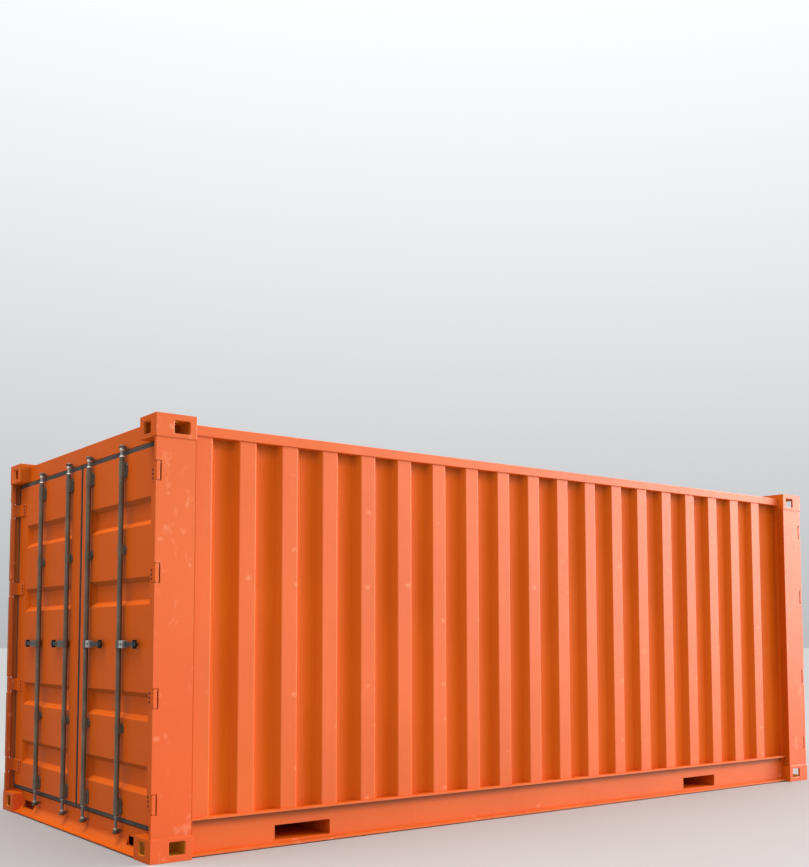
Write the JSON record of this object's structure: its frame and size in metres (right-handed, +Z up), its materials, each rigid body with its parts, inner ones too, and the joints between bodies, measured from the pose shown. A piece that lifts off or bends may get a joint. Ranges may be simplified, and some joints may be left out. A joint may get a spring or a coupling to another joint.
{
  "type": "shipping container",
  "caption": "Orange steel twenty-foot shipping container with corrugated sides, hinged cargo doors, locking bars, corner fittings and fork pockets.",
  "frame": {"origin": "middle of the base, on the plane of the bottom corner fittings' undersides", "axes": "+X along the length, away from the working doors; +Y across to the left side as seen from the doors; +Z up"},
  "size_m": [6.058, 2.438, 2.438],
  "materials": {
    "container_paint": "satin paint with scuffs",
    "dark_steel": "dark painted, worn",
    "galvanised_steel": "dull zinc",
    "rubber_seal": "matt",
    "plywood": "sealed, scuffed"
  },
  "bodies": {
    "container": {"bottom_corner_fittings": "container_paint", "top_corner_fittings": "container_paint", "door_end_posts": "container_paint", "far_end_posts": "container_paint", "door_header": "container_paint", "far_header": "container_paint", "door_sill": "container_paint", "far_sill": "container_paint", "top_side_rails": "container_paint", "bottom_side_rails": "container_paint", "fork_pocket_mouths": "container_paint", "fork_pockets": "container_paint", "cross_members": "container_paint", "floor": "plywood", "left_side_wall": "container_paint", "right_side_wall": "container_paint", "roof": "container_paint", "hinge_pins": "container_paint", "bar_keepers": "dark_steel", "far_doors": "container_paint", "far_door_seals": "rubber_seal", "far_door_hinges": "container_paint", "far_bar_guides": "dark_steel", "far_locking_bars": "dark_steel", "far_handles": "galvanised_steel"},
    "left_door": {"left_door": "container_paint", "left_door_seal": "rubber_seal", "left_door_hinges": "container_paint", "left_bar_guides": "dark_steel"},
    "right_door": {"right_door": "container_paint", "right_door_seal": "rubber_seal", "right_door_hinges": "container_paint", "right_bar_guides": "dark_steel"},
    "left_outer_bar": {"locking_bar_left_outer": "dark_steel", "bar_cams_left_outer": "dark_steel", "handle_left_outer": "galvanised_steel"},
    "left_inner_bar": {"locking_bar_left_inner": "dark_steel", "bar_cams_left_inner": "dark_steel", "handle_left_inner": "galvanised_steel"},
    "right_inner_bar": {"locking_bar_right_inner": "dark_steel", "bar_cams_right_inner": "dark_steel", "handle_right_inner": "galvanised_steel"},
    "right_outer_bar": {"locking_bar_right_outer": "dark_steel", "bar_cams_right_outer": "dark_steel", "handle_right_outer": "galvanised_steel"}
  },
  "joints": [
    {"name": "left_door_hinge", "type": "hinge", "parent": "container", "child": "left_door", "pos_m": [-3.01, 1.203, 1.2], "axis": [0, 0, -1], "range_deg": [0, 270]},
    {"name": "right_door_hinge", "type": "hinge", "parent": "container", "child": "right_door", "pos_m": [-3.01, -1.203, 1.2], "axis": [0, 0, 1], "range_deg": [0, 270]},
    {"name": "left_outer_bar_turn", "type": "hinge", "parent": "left_door", "child": "left_outer_bar", "pos_m": [-2.99, 0.675, 1.168], "axis": [0, 0, -1], "range_deg": [-110, 0]},
    {"name": "left_inner_bar_turn", "type": "hinge", "parent": "left_door", "child": "left_inner_bar", "pos_m": [-2.99, 0.172, 1.168], "axis": [0, 0, -1], "range_deg": [-110, 0]},
    {"name": "right_inner_bar_turn", "type": "hinge", "parent": "right_door", "child": "right_inner_bar", "pos_m": [-2.99, -0.172, 1.168], "axis": [0, 0, 1], "range_deg": [-110, 0]},
    {"name": "right_outer_bar_turn", "type": "hinge", "parent": "right_door", "child": "right_outer_bar", "pos_m": [-2.99, -0.675, 1.168], "axis": [0, 0, 1], "range_deg": [-110, 0]}
  ]
}
